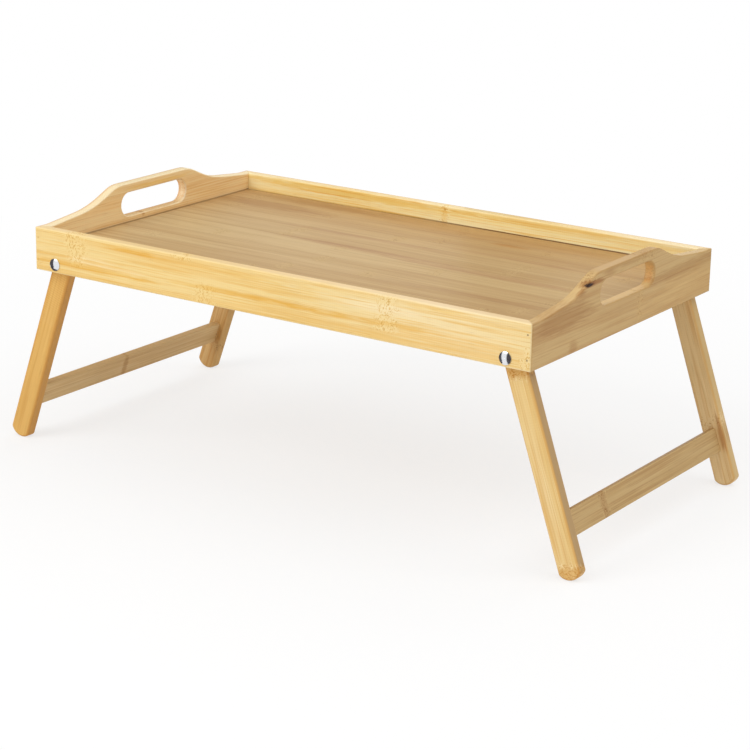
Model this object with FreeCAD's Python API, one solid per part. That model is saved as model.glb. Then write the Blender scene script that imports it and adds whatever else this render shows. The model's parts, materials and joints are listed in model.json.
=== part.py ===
import FreeCAD
import Part

import os
from math import acos, atan2, cos, radians, sin

from FreeCAD import Placement, Rotation, Vector

# Folding bed tray table in bamboo. Millimetres, +Z up.
# The origin is on the floor, under the middle of the tray, with the legs open.
# X runs along the tray between the two handles, Y from the front rail to the back rail.

# ---- tray frame: four mitred boards ----
TRAY_LENGTH = 500.0         # over the two handle boards
TRAY_WIDTH = 300.0          # over the front and back rails
RAIL_HEIGHT = 38.0
BOARD_THICKNESS = 9.5
EDGE_ROUND = 1.5            # sanded long edges
CORNER_ROUND = 2.0          # sanded upright corners, seen from above

# ---- handle boards: a raised grip that falls to the rail height at both corners ----
HANDLE_RISE = 20.0          # grip top above the rail top
HANDLE_FLAT = 88.0          # level stretch over the grip
SHOULDER_RADIUS = 34.0
FLANK_ANGLE = 24.0          # steepest slope, degrees
FLANK_LENGTH = 11.3         # straight stretch at that slope
COVE_RADIUS = 110.0
TOE_RADIUS = 60.0           # eases the long low ramp into the level corner
CORNER_LEVEL = 11.5         # level stretch at each corner
GRIP_LENGTH = 91.0
GRIP_HEIGHT = 21.5
GRIP_BAR = 8.6              # wood left over the grip slot
GRIP_ROUND = 1.5            # eased slot edges

# ---- floor panel, held in a groove round the frame ----
PANEL_THICKNESS = 4.0
WELL_DEPTH = 15.5           # rail top down to the panel's upper face
GROOVE_DEPTH = 4.0
TONGUE_STEP = 0.5           # the panel's rim is planed this much thinner, from above
PANEL_GAP = 0.2             # hairline between the panel's upper face and the boards
TONGUE_END_GAP = 0.3        # tongue to the bottom of the groove
TONGUE_FIT = 0.1            # groove height over the tongue

# ---- legs ----
LEG_WIDTH = 20.0
LEG_THICKNESS = 11.0
LEG_REACH = 180.5           # pivot axis to the tip of the foot
LEG_EDGE_ROUND = 2.5
FOOT_RADIUS = 12.0
FOOT_CORNER_ROUND = 3.2     # where the foot's arc meets the leg's sides
LEG_SPLAY = 19.2            # open leg, degrees from upright
LEG_STOP_CLEARANCE = 0.3    # open leg to the lower edge of the handle board that stops it
FOLD_CLEARANCE = 1.0        # folded leg to the panel's underside

# ---- stretcher between the two legs of a frame ----
STRETCHER_HEIGHT = 21.0
STRETCHER_THICKNESS = 7.0
STRETCHER_DROP = 139.5      # pivot axis to the middle of the stretcher, along the leg
STRETCHER_EDGE_ROUND = 1.5
SHOULDER_GAP = 0.05         # stretcher's shoulder to the leg
TENON_HEIGHT = 15.0
TENON_THICKNESS = 4.0
TENON_LENGTH = 6.0          # into the leg
TENON_CLEARANCE = 0.05      # round the tenon's faces
TENON_END_GAP = 0.2         # tenon end to the bottom of the mortise

# ---- pivot: a capped sleeve through rail and leg, closed by a screw from inside ----
SLEEVE_DIAMETER = 6.0
SLEEVE_RAIL_CLEARANCE = 0.05
SLEEVE_LEG_CLEARANCE = 0.08
SLEEVE_PROUD = 0.2          # past the leg's inner face, so that the leg stays free
CAP_DIAMETER = 10.8
CAP_RIM = 0.6               # upright edge of the cap
CAP_DOME = 1.2              # dome over the rim
SPACER_DIAMETER = 14.0
SPACER_THICKNESS = 0.4
SPACER_CLEARANCE = 0.1      # round the sleeve
LEG_RUN_GAP = 0.1           # spacer to leg
SCREW_DIAMETER = 4.0
SCREW_THREAD_LENGTH = 13.0
SCREW_CLEARANCE = 0.05      # round the screw in the sleeve and the washer
SCREW_END_GAP = 1.0         # screw tip to the bottom of the sleeve's bore
SCREW_HEAD_DIAMETER = 9.0
SCREW_HEAD_RIM = 0.8
SCREW_HEAD_DOME = 1.4
SCREW_RECESS_LENGTH = 5.0
SCREW_RECESS_WIDTH = 0.9
SCREW_RECESS_DEPTH = 1.3
SCREW_WASHER_DIAMETER = 12.0
SCREW_WASHER_THICKNESS = 0.8

# ---- nails through the rails into the handle boards' ends ----
NAIL_DIAMETER = 1.1
NAIL_LENGTH = 25.0
NAIL_HEAD_DIAMETER = 1.6
NAIL_HEAD_THICKNESS = 0.6
NAIL_SUNK = 0.2             # head below the rail's face
NAIL_CLEARANCE = 0.03
NAIL_EDGE_DISTANCE = 9.0    # from the rail's upper and lower edges
NAIL_END_DISTANCE = 3.8     # from the rail's end

# ---- working values ----
CUT_OVERRUN = 1.0           # cutters run this far past the face they open
TOUCH = 1e-6                # two places nearer than this are the same
FULL_TURN = 360.0

# ---- places worked out from the sizes above ----
SPLAY = radians(LEG_SPLAY)
PIVOT_HEIGHT = RAIL_HEIGHT - WELL_DEPTH - PANEL_THICKNESS - FOLD_CLEARANCE - LEG_WIDTH / 2
FOOT_CENTRE = LEG_REACH - FOOT_RADIUS
PIVOT_Z = FOOT_CENTRE * cos(SPLAY) + FOOT_RADIUS
FRAME_Z = PIVOT_Z - PIVOT_HEIGHT
RAIL_TOP_Z = FRAME_Z + RAIL_HEIGHT
HANDLE_TOP_Z = RAIL_TOP_Z + HANDLE_RISE
PANEL_TOP_Z = RAIL_TOP_Z - WELL_DEPTH

# The open leg's outer side lies against the rounded lower edge of the handle board.
STOP_REACH = (LEG_WIDTH / 2 + EDGE_ROUND + LEG_STOP_CLEARANCE
              + (PIVOT_HEIGHT - EDGE_ROUND) * sin(SPLAY)) / cos(SPLAY) - EDGE_ROUND

HALF_LENGTH = TRAY_LENGTH / 2
HALF_WIDTH = TRAY_WIDTH / 2
BOARD_INNER_X = HALF_LENGTH - BOARD_THICKNESS
RAIL_INNER_Y = HALF_WIDTH - BOARD_THICKNESS
PIVOT_X = BOARD_INNER_X - STOP_REACH
LEG_OUTER_Y = RAIL_INNER_Y - SPACER_THICKNESS - LEG_RUN_GAP
LEG_INNER_Y = LEG_OUTER_Y - LEG_THICKNESS
SLEEVE_END_Y = LEG_INNER_Y - SLEEVE_PROUD

X_AXIS = Vector(1, 0, 0)
Y_AXIS = Vector(0, 1, 0)
Z_AXIS = Vector(0, 0, 1)
ENDS = {"left": -1, "right": 1}
SIDES = {"front": -1, "back": 1}


# ---- helpers ----

def box(low, high):
    """A block between two opposite corners."""
    return Part.makeBox(high[0] - low[0], high[1] - low[1], high[2] - low[2], Vector(*low))


def line(start, stop):
    return Part.LineSegment(start, stop).toShape()


def arc(start, middle, stop):
    return Part.Arc(start, middle, stop).toShape()


def along(edge, direction):
    """True where an edge is straight and runs along a direction."""
    if not isinstance(edge.Curve, Part.Line):
        return False
    return abs(abs(edge.tangentAt(edge.FirstParameter).dot(direction)) - 1) < TOUCH


def on_either(value, places):
    """True where a value is at one of two places."""
    return min(abs(value - place) for place in places) < TOUCH


def round_edges(shape, radius, wanted):
    return shape.makeFillet(radius, [edge for edge in shape.Edges if wanted(edge)])


def cylinder(radius, start, end):
    return Part.makeCylinder(radius, (end - start).Length, start, end - start)


def ring(outer_radius, inner_radius, start, end):
    return cylinder(outer_radius, start, end).cut(cylinder(inner_radius, start, end))


def domed_head(radius, rim, dome, centre, axis):
    """A low domed head on a flat face at centre, with its crown towards axis."""
    rim_low = centre + axis.cross(Z_AXIS) * radius
    rim_high = rim_low + axis * rim
    crown = centre + axis * (rim + dome)
    ball_radius = (radius**2 + dome**2) / (2 * dome)
    ball_centre = crown - axis * ball_radius
    halfway = (rim_high + crown) * 0.5 - ball_centre
    middle = ball_centre + halfway.normalize() * ball_radius
    edges = [line(centre, rim_low), line(rim_low, rim_high),
             arc(rim_high, middle, crown), line(crown, centre)]
    return Part.Face(Part.Wire(edges)).revolve(centre, axis, FULL_TURN)


# ---- tray frame ----

def mitred(board, corners):
    """Cuts a board to its mitred plan and to the tray's rounded upright corners."""
    points = [Vector(x, y, FRAME_Z) for x, y in corners]
    plan = Part.Face(Part.makePolygon(points + points[:1]))
    tray = box((-HALF_LENGTH, -HALF_WIDTH, FRAME_Z), (HALF_LENGTH, HALF_WIDTH, HANDLE_TOP_Z))
    tray = round_edges(tray, CORNER_ROUND, lambda edge: along(edge, Z_AXIS))
    return board.common(plan.extrude(Z_AXIS * (HANDLE_TOP_Z - FRAME_Z))).common(tray)


def panel_groove():
    """The space that the panel's tongue needs inside the boards, as one block."""
    half_x = BOARD_INNER_X + GROOVE_DEPTH
    half_y = RAIL_INNER_Y + GROOVE_DEPTH
    low = PANEL_TOP_Z - PANEL_THICKNESS - TONGUE_FIT / 2
    high = PANEL_TOP_Z - TONGUE_STEP + TONGUE_FIT / 2
    return box((-half_x, -half_y, low), (half_x, half_y, high))


def nail_places(side):
    """Where the four nails of one rail go in: two near each end."""
    x = HALF_LENGTH - NAIL_END_DISTANCE
    heights = (FRAME_Z + NAIL_EDGE_DISTANCE, RAIL_TOP_Z - NAIL_EDGE_DISTANCE)
    return [Vector(end * x, side * HALF_WIDTH, z) for end in ENDS.values() for z in heights]


def nail_shape(place, side, start, clearance):
    """Head and shank, from a depth below the rail's face, enlarged by a clearance."""
    inwards = Y_AXIS * -side
    top = place + inwards * start
    neck = place + inwards * (NAIL_SUNK + NAIL_HEAD_THICKNESS + clearance)
    tip = place + inwards * (NAIL_LENGTH + clearance)
    head = cylinder(NAIL_HEAD_DIAMETER / 2 + clearance, top, neck)
    return head.fuse(cylinder(NAIL_DIAMETER / 2 + clearance, top, tip)).removeSplitter()


def corner_nails(side):
    return [nail_shape(place, side, NAIL_SUNK, 0) for place in nail_places(side)]


def nail_holes():
    return [nail_shape(place, side, -CUT_OVERRUN, NAIL_CLEARANCE)
            for side in SIDES.values() for place in nail_places(side)]


def rail(side):
    """Front or back rail: a straight board with the panel groove and the pivot holes."""
    low_y, high_y = sorted((side * RAIL_INNER_Y, side * HALF_WIDTH))
    bar = box((-HALF_LENGTH, low_y, FRAME_Z), (HALF_LENGTH, high_y, RAIL_TOP_Z))
    bar = round_edges(bar, EDGE_ROUND, lambda edge: along(edge, X_AXIS))
    outer_y, inner_y = side * HALF_WIDTH, side * RAIL_INNER_Y
    bar = mitred(bar, [(-HALF_LENGTH, outer_y), (HALF_LENGTH, outer_y),
                       (BOARD_INNER_X, inner_y), (-BOARD_INNER_X, inner_y)])
    holes = [cylinder(SLEEVE_DIAMETER / 2 + SLEEVE_RAIL_CLEARANCE,
                      pivot_point(end, side, HALF_WIDTH + CUT_OVERRUN),
                      pivot_point(end, side, RAIL_INNER_Y - CUT_OVERRUN))
             for end in ENDS.values()]
    return bar.cut([panel_groove()] + holes + nail_holes())


def fall_normal(angle):
    """The upward normal of a line that falls at an angle, towards +Y."""
    return Vector(0, sin(angle), cos(angle))


def bend(centre, radius, start, stop):
    """An arc between two slopes: over its centre, or under it for a negative radius."""
    angles = (start, (start + stop) / 2, stop)
    return arc(*[centre + fall_normal(angle) * radius for angle in angles])


def handle_outline(x):
    """The raised part of a handle board as a closed face at x, from toe to toe."""
    flank = radians(FLANK_ANGLE)
    shoulder = Vector(x, HANDLE_FLAT / 2, HANDLE_TOP_Z - SHOULDER_RADIUS)
    flank_start = shoulder + fall_normal(flank) * SHOULDER_RADIUS
    flank_end = flank_start + Vector(0, cos(flank), -sin(flank)) * FLANK_LENGTH
    cove = flank_end + fall_normal(flank) * COVE_RADIUS
    toe = Vector(x, HALF_WIDTH - CORNER_LEVEL, RAIL_TOP_Z + TOE_RADIUS)

    # The ramp is the line that touches both the cove's and the toe's circle from below.
    across = toe - cove
    ramp = atan2(across.y, across.z) - acos((TOE_RADIUS - COVE_RADIUS) / across.Length)
    ramp_start = cove - fall_normal(ramp) * COVE_RADIUS
    ramp_end = toe - fall_normal(ramp) * TOE_RADIUS
    toe_end = toe - Z_AXIS * TOE_RADIUS

    half = [
        bend(shoulder, SHOULDER_RADIUS, 0, flank),
        line(flank_start, flank_end),
        bend(cove, -COVE_RADIUS, flank, ramp),
        line(ramp_start, ramp_end),
        bend(toe, -TOE_RADIUS, ramp, 0),
        line(toe_end, Vector(x, toe_end.y, FRAME_Z)),
    ]
    other_half = [edge.mirror(Vector(), Y_AXIS) for edge in half]
    top = Vector(x, HANDLE_FLAT / 2, HANDLE_TOP_Z)
    foot = Vector(x, toe_end.y, FRAME_Z)
    closing = [line(point, Vector(x, -point.y, point.z)) for point in (top, foot)]
    return Part.Face(Part.Wire(Part.__sortEdges__(half + other_half + closing)))


def grip_slot(centre):
    """The round-ended slot along Y, cut right through the board along X."""
    radius = GRIP_HEIGHT / 2
    half = GRIP_LENGTH / 2 - radius
    reach = X_AXIS * BOARD_THICKNESS
    low = centre - reach - Vector(0, half, radius)
    high = centre + reach + Vector(0, half, radius)
    ends = [cylinder(radius, point - reach, point + reach)
            for point in (centre - Y_AXIS * half, centre + Y_AXIS * half)]
    return box(low, high).fuse(ends).removeSplitter()


def handle_board(end):
    """Left or right end board: the raised grip outline, its slot and the panel groove."""
    outer_x, inner_x = end * HALF_LENGTH, end * BOARD_INNER_X
    faces = sorted((outer_x, inner_x))
    level = box((faces[0], -HALF_WIDTH, FRAME_Z), (faces[1], HALF_WIDTH, RAIL_TOP_Z))
    raised = handle_outline(faces[0]).extrude(X_AXIS * BOARD_THICKNESS)
    board = level.fuse(raised).removeSplitter()
    board = round_edges(board, EDGE_ROUND, lambda edge: (
        on_either(edge.CenterOfMass.x, faces) and not along(edge, Z_AXIS)))

    slot_z = HANDLE_TOP_Z - GRIP_BAR - GRIP_HEIGHT / 2
    board = board.cut(grip_slot(Vector(sum(faces) / 2, 0, slot_z)))

    def slot_edge(edge):
        middle = edge.BoundBox.Center
        return (on_either(middle.x, faces) and abs(middle.y) <= GRIP_LENGTH / 2
                and abs(middle.z - slot_z) <= GRIP_HEIGHT / 2)

    board = round_edges(board, GRIP_ROUND, slot_edge)
    board = mitred(board, [(outer_x, -HALF_WIDTH), (outer_x, HALF_WIDTH),
                           (inner_x, RAIL_INNER_Y), (inner_x, -RAIL_INNER_Y)])
    return board.cut([panel_groove()] + nail_holes())


def tray_panel():
    """The floor panel: its upper face ends just inside the boards, its tongue in the groove."""
    field_x, field_y = BOARD_INNER_X - PANEL_GAP, RAIL_INNER_Y - PANEL_GAP
    tongue_x = BOARD_INNER_X + GROOVE_DEPTH - TONGUE_END_GAP
    tongue_y = RAIL_INNER_Y + GROOVE_DEPTH - TONGUE_END_GAP
    under = PANEL_TOP_Z - PANEL_THICKNESS
    sheet = box((-tongue_x, -tongue_y, under), (tongue_x, tongue_y, PANEL_TOP_Z - TONGUE_STEP))
    field = box((-field_x, -field_y, under), (field_x, field_y, PANEL_TOP_Z))
    return sheet.fuse(field).removeSplitter()


# ---- leg frames, drawn upright at the pivot and then swung to the open splay ----

def opened(shape, end):
    """Moves a shape from the upright frame at the origin to its place at one end."""
    placed = shape.copy()
    swing = Rotation(Y_AXIS, -end * LEG_SPLAY)
    placed.Placement = Placement(Vector(end * PIVOT_X, 0, PIVOT_Z), swing)
    return placed


def leg_outline(y):
    """A leg's side view as a face at y: round at the pivot, a flatter arc at the foot."""
    half = LEG_WIDTH / 2
    shin = -FOOT_CENTRE - (FOOT_RADIUS**2 - half**2) ** 0.5
    edges = [
        arc(Vector(-half, y, 0), Vector(0, y, half), Vector(half, y, 0)),
        line(Vector(half, y, 0), Vector(half, y, shin)),
        arc(Vector(half, y, shin), Vector(0, y, -LEG_REACH), Vector(-half, y, shin)),
        line(Vector(-half, y, shin), Vector(-half, y, 0)),
    ]
    return Part.Face(Part.Wire(edges))


def tenon_bar(margin, low_y, high_y):
    """The tenon's section, enlarged by a margin, as a bar along Y at the stretcher's place."""
    radius = TENON_THICKNESS / 2 + margin
    straight = TENON_HEIGHT / 2 - TENON_THICKNESS / 2
    heights = (-STRETCHER_DROP - straight, -STRETCHER_DROP + straight)
    bar = box((-radius, low_y, heights[0]), (radius, high_y, heights[1]))
    rounds = [cylinder(radius, Vector(0, low_y, z), Vector(0, high_y, z)) for z in heights]
    return bar.fuse(rounds).removeSplitter()


def mortise(side):
    """The round-ended pocket in a leg's inner face that takes the stretcher's tenon."""
    bottom = LEG_INNER_Y + TENON_LENGTH + TENON_END_GAP
    low_y, high_y = sorted((side * (LEG_INNER_Y - CUT_OVERRUN), side * bottom))
    return tenon_bar(TENON_CLEARANCE, low_y, high_y)


def leg(end, side):
    """One leg with its pivot bore and the mortise for the stretcher."""
    faces = sorted((side * LEG_OUTER_Y, side * LEG_INNER_Y))
    bar = leg_outline(faces[0]).extrude(Y_AXIS * LEG_THICKNESS)
    bar = round_edges(bar, FOOT_CORNER_ROUND, lambda edge: (
        along(edge, Y_AXIS) and edge.CenterOfMass.z < -LEG_WIDTH))
    bar = round_edges(bar, LEG_EDGE_ROUND, lambda edge: on_either(edge.CenterOfMass.y, faces))
    bore = cylinder(SLEEVE_DIAMETER / 2 + SLEEVE_LEG_CLEARANCE,
                    Vector(0, faces[0] - CUT_OVERRUN, 0), Vector(0, faces[1] + CUT_OVERRUN, 0))
    return opened(bar.cut([bore, mortise(side)]), end)


def stretcher(end):
    """The flat bar that joins a frame's two legs, with a tenon past each shoulder."""
    half_y = LEG_INNER_Y - SHOULDER_GAP
    half_x, half_z = STRETCHER_THICKNESS / 2, STRETCHER_HEIGHT / 2
    bar = box((-half_x, -half_y, -STRETCHER_DROP - half_z),
              (half_x, half_y, -STRETCHER_DROP + half_z))
    bar = round_edges(bar, STRETCHER_EDGE_ROUND, lambda edge: along(edge, Y_AXIS))
    reach = LEG_INNER_Y + TENON_LENGTH
    return opened(bar.fuse(tenon_bar(0, -reach, reach)).removeSplitter(), end)


# ---- pivot hardware, all on the axis through the rail and the leg ----

def pivot_point(end, side, y):
    return Vector(end * PIVOT_X, side * y, PIVOT_Z)


def pivot_sleeve(end, side):
    """A domed cap outside the rail on a sleeve that the leg turns on, bored for the screw."""
    outwards = Y_AXIS * side
    face = pivot_point(end, side, HALF_WIDTH)
    tip = pivot_point(end, side, SLEEVE_END_Y)
    cap = domed_head(CAP_DIAMETER / 2, CAP_RIM, CAP_DOME, face, outwards)
    barrel = cylinder(SLEEVE_DIAMETER / 2, face, tip)
    reach = SCREW_THREAD_LENGTH - SCREW_WASHER_THICKNESS + SCREW_END_GAP
    bore = cylinder(SCREW_DIAMETER / 2 + SCREW_CLEARANCE, tip, tip + outwards * reach)
    return cap.fuse(barrel).cut(bore)


def rail_spacer(end, side):
    """The thin washer between rail and leg."""
    start = pivot_point(end, side, RAIL_INNER_Y)
    stop = pivot_point(end, side, RAIL_INNER_Y - SPACER_THICKNESS)
    return ring(SPACER_DIAMETER / 2, SLEEVE_DIAMETER / 2 + SPACER_CLEARANCE, start, stop)


def screw_washer(end, side):
    start = pivot_point(end, side, SLEEVE_END_Y)
    stop = pivot_point(end, side, SLEEVE_END_Y - SCREW_WASHER_THICKNESS)
    return ring(SCREW_WASHER_DIAMETER / 2, SCREW_DIAMETER / 2 + SCREW_CLEARANCE, start, stop)


def pivot_screw(end, side):
    """A pan-head screw with a cross recess, driven into the sleeve from inside."""
    inwards = Y_AXIS * -side
    seat = pivot_point(end, side, SLEEVE_END_Y - SCREW_WASHER_THICKNESS)
    head = domed_head(SCREW_HEAD_DIAMETER / 2, SCREW_HEAD_RIM, SCREW_HEAD_DOME, seat, inwards)
    shank = cylinder(SCREW_DIAMETER / 2, seat, seat - inwards * SCREW_THREAD_LENGTH)
    crown = seat + inwards * (SCREW_HEAD_RIM + SCREW_HEAD_DOME)
    low_y, high_y = sorted((crown.y, (crown - inwards * SCREW_RECESS_DEPTH).y))
    long, short = SCREW_RECESS_LENGTH / 2, SCREW_RECESS_WIDTH / 2
    slots = [box((crown.x - half_x, low_y, crown.z - half_z),
                 (crown.x + half_x, high_y, crown.z + half_z))
             for half_x, half_z in ((long, short), (short, long))]
    return head.fuse(shank).cut(slots)


# ---- every node and its solids ----

def build():
    nodes = {"tray_panel": [tray_panel()]}
    for side_name, side in SIDES.items():
        nodes[f"{side_name}_rail"] = [rail(side)]
        nodes[f"{side_name}_corner_nails"] = corner_nails(side)
    for end_name, end in ENDS.items():
        nodes[f"{end_name}_handle_board"] = [handle_board(end)]
        nodes[f"{end_name}_stretcher"] = [stretcher(end)]
        for side_name, side in SIDES.items():
            place = f"{end_name}_{side_name}"
            nodes[f"{place}_leg"] = [leg(end, side)]
            nodes[f"{place}_pivot_sleeve"] = [pivot_sleeve(end, side)]
            nodes[f"{place}_rail_spacer"] = [rail_spacer(end, side)]
            nodes[f"{place}_screw_washer"] = [screw_washer(end, side)]
            nodes[f"{place}_pivot_screw"] = [pivot_screw(end, side)]
    return nodes


def write(name, shapes):
    """Writes a node's STEP file, as one solid or as a group of separate solids."""
    solids = [solid for shape in shapes for solid in shape.Solids]
    if not solids or not all(solid.isValid() and solid.isClosed() for solid in solids):
        raise RuntimeError(f"{name} is not a closed valid solid")
    whole = solids[0] if len(solids) == 1 else Part.makeCompound(solids)
    whole.exportStep(f"parts/{name}.step")
    print(f"{name}: {len(solids)} solid(s), {whole.Volume:.1f} mm3")


def main():
    os.makedirs("parts", exist_ok=True)
    for name, shapes in build().items():
        write(name, shapes)
    print(f"pivot at x {PIVOT_X:.3f}, z {PIVOT_Z:.3f}; rails from z {FRAME_Z:.3f} to "
          f"{RAIL_TOP_Z:.3f}; panel face at {PANEL_TOP_Z:.3f}; top at {HANDLE_TOP_Z:.3f}")


main()
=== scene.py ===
# %% [markdown]
# # A folding bed tray table in bamboo
# The table is a shallow tray on two folding leg frames. Its solids come finished from the CAD
# model, each in its own node, so this lesson is mostly about wood: how pressed bamboo is built
# up from fibres, strips, growth rings and knots, and how each board gets its own grain. The
# last cells add the metal of the pivots, and soft studio light.

# %% Load the frame
import json
from math import cos, radians, sin

import bpy
from mathutils import Matrix, Vector


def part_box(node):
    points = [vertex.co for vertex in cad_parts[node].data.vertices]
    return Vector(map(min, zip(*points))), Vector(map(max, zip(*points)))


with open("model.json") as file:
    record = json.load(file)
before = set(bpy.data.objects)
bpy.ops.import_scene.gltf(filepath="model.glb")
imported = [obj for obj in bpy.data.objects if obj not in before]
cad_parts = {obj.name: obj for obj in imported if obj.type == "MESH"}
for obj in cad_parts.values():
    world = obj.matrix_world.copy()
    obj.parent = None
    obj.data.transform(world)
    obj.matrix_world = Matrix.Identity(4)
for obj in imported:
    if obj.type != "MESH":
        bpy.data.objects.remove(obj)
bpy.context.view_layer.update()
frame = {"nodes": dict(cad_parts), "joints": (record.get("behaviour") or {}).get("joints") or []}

nodes = frame["nodes"]

# %% [markdown]
# ## Measures
# Places come from the loaded nodes wherever a node shows them. The few sizes below can't be
# read from a box: the splay of the open legs and where the stretcher crosses them.

# %% Measures
LEG_SPLAY = radians(19.2)
STRETCHER_DROP = 0.1395
BOARD_THICKNESS = 0.0095
ENDS = {"left": -1, "right": 1}
SIDES = {"front": -1, "back": 1}

rail_low, rail_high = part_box("front_rail")
RAIL_LOW_Z, RAIL_TOP_Z = rail_low.z, rail_high.z
RAIL_MIDDLE_Z = (RAIL_LOW_Z + RAIL_TOP_Z) / 2
HALF_LENGTH, HALF_WIDTH = rail_high.x, -rail_low.y
PANEL_TOP_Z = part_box("tray_panel")[1].z
PIVOTS = {joint["child"].split("_")[0]: Vector(joint["pos_m"]) for joint in frame["joints"]}
print("rails from", round(RAIL_LOW_Z, 4), "to", round(RAIL_TOP_Z, 4), "pivots", PIVOTS)

# %% [markdown]
# ## Camera
# The picture was taken from the right front, a little above the rim, with a long lens. A
# camera is easiest to place by its own three directions: right, up and back.

# %% Camera
CAMERA_AZIMUTH = radians(34.1361)
CAMERA_ELEVATION = radians(17.2080)
CAMERA_ROLL = radians(1.0695)
CAMERA_DISTANCE = 1.949070
CAMERA_SLIDE = (0.004242, -0.081994)
FOCAL_PIXELS = 2257.275
FRAME_PIXELS = 750
SENSOR = 36.0


def camera_matrix():
    """The camera's place and turn, from its direction, its roll and its sideways slide."""
    back = Vector((sin(CAMERA_AZIMUTH) * cos(CAMERA_ELEVATION),
                   -cos(CAMERA_AZIMUTH) * cos(CAMERA_ELEVATION),
                   sin(CAMERA_ELEVATION)))
    level_right = (-back).cross(Vector((0, 0, 1))).normalized()
    level_up = back.cross(level_right)
    right = cos(CAMERA_ROLL) * level_right + sin(CAMERA_ROLL) * level_up
    up = cos(CAMERA_ROLL) * level_up - sin(CAMERA_ROLL) * level_right
    matrix = Matrix((right, up, back)).transposed().to_4x4()
    matrix.translation = (back * CAMERA_DISTANCE + CAMERA_SLIDE[0] * right
                          + CAMERA_SLIDE[1] * up + Vector((0, 0, RAIL_LOW_Z)))
    return matrix


camera_data = bpy.data.cameras.new("camera")
camera_data.sensor_width = SENSOR
camera_data.lens = FOCAL_PIXELS / FRAME_PIXELS * SENSOR
camera = bpy.data.objects.new("camera", camera_data)
bpy.context.collection.objects.link(camera)
camera.matrix_world = camera_matrix()
bpy.context.scene.camera = camera
bpy.context.scene.view_settings.view_transform = "Standard"
print("lens", round(camera_data.lens, 2), "mm, camera at", camera.matrix_world.translation)

# %% [markdown]
# ## A small kit for shader nodes
# Shader nodes are wordy in Python. A helper that adds a node, fills its sockets with numbers
# or with links, and returns an output keeps every pattern below readable as a short recipe.
# Colours are written as a painter reads them, from 0 to 255, and turned to linear light.

# %% Tones
def tone(red, green, blue):
    """A colour given from 0 to 255 as the linear colour that a socket takes."""
    def linear(value):
        share = value / 255
        return share / 12.92 if share <= 0.04045 else ((share + 0.055) / 1.055) ** 2.4
    return (linear(red), linear(green), linear(blue), 1.0)


WHITE = (1.0, 1.0, 1.0, 1.0)
print("a painter's middle grey in linear light:", round(tone(128, 128, 128)[0], 3))

# %% Node kit
NODE_STEP, NODE_DROP, NODE_ROWS = 190, 170, 5


class Graph:
    """Adds shader nodes to one tree and joins them."""

    def __init__(self, tree):
        self.tree = tree

    def node(self, kind, sockets=(), **settings):
        """A new node: first its settings, then a number or a link for each named socket."""
        made = self.tree.nodes.new(kind)
        count = len(self.tree.nodes)
        made.location = (count * NODE_STEP, (count % NODE_ROWS) * -NODE_DROP)
        for name, value in settings.items():
            setattr(made, name, value)
        for socket, value in dict(sockets).items():
            if isinstance(value, bpy.types.NodeSocket):
                self.tree.links.new(value, made.inputs[socket])
            else:
                made.inputs[socket].default_value = value
        return made

    def math(self, operation, first, second=0.0):
        return self.node("ShaderNodeMath", {0: first, 1: second}, operation=operation).outputs[0]

    def vector(self, operation, first, second):
        return self.node("ShaderNodeVectorMath", {0: first, 1: second},
                         operation=operation).outputs[0]

    def length(self, vector):
        return self.node("ShaderNodeVectorMath", {0: vector}, operation="LENGTH").outputs["Value"]

    def apart(self, first, second):
        """How far two values are apart."""
        return self.math("ABSOLUTE", self.math("SUBTRACT", first, second))

    def swing(self, noise, reach):
        """Noise from 0 to 1 turned into a push of half the reach either way."""
        return self.math("MULTIPLY", self.math("SUBTRACT", noise, 0.5), reach)

    def total(self, start, parts):
        """A start value plus each part times its weight."""
        for value, weight in parts:
            start = self.math("ADD", start, self.math("MULTIPLY", value, weight))
        return start

    def fade(self, value, low, high, start=0.0, end=1.0):
        """start up to low, end from high on, and a soft step between."""
        sockets = {"Value": value, "From Min": low, "From Max": high,
                   "To Min": start, "To Max": end}
        return self.node("ShaderNodeMapRange", sockets,
                         interpolation_type="SMOOTHSTEP").outputs["Result"]

    def mix(self, amount, below, above, mode="MIX"):
        return self.node("ShaderNodeMix", {0: amount, 6: below, 7: above},
                         data_type="RGBA", blend_type=mode).outputs[2]

    def noise(self, vector, stretch, detail=2.0, distortion=0.0):
        """Noise from 0 to 1, with a number of features per metre along each axis."""
        scaled = self.vector("MULTIPLY", vector, stretch)
        sockets = {"Vector": scaled, "Scale": 1.0, "Detail": detail, "Distortion": distortion}
        return self.node("ShaderNodeTexNoise", sockets).outputs["Fac"]

    def split(self, vector):
        return self.node("ShaderNodeSeparateXYZ", {0: vector}).outputs

    def join(self, x, y, z):
        return self.node("ShaderNodeCombineXYZ", {0: x, 1: y, 2: z}).outputs[0]

    def use(self, group, sockets):
        """Places a node group and gives its outputs."""
        return self.node("ShaderNodeGroup", sockets, node_tree=group).outputs


print("node kit:", [name for name in vars(Graph) if not name.startswith("_")])

# %% Starting a group or a material
SOCKETS = {"value": "NodeSocketFloat", "colour": "NodeSocketColor", "vector": "NodeSocketVector"}


def start_group(name, inputs, outputs):
    """A new node group with named sockets: its graph, its inputs and its tree."""
    tree = bpy.data.node_groups.new(name, "ShaderNodeTree")
    for label, kind in inputs.items():
        tree.interface.new_socket(label, in_out="INPUT", socket_type=SOCKETS[kind])
    for label, kind in outputs.items():
        tree.interface.new_socket(label, in_out="OUTPUT", socket_type=SOCKETS[kind])
    graph = Graph(tree)
    return graph, graph.node("NodeGroupInput").outputs, tree


def end_group(graph, results):
    graph.node("NodeGroupOutput", results)


def clean_graph(owner):
    """Turns on the nodes of a material or a world and clears them."""
    owner.use_nodes = True
    owner.node_tree.nodes.clear()
    return Graph(owner.node_tree)


print("kinds of socket:", list(SOCKETS))

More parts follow.
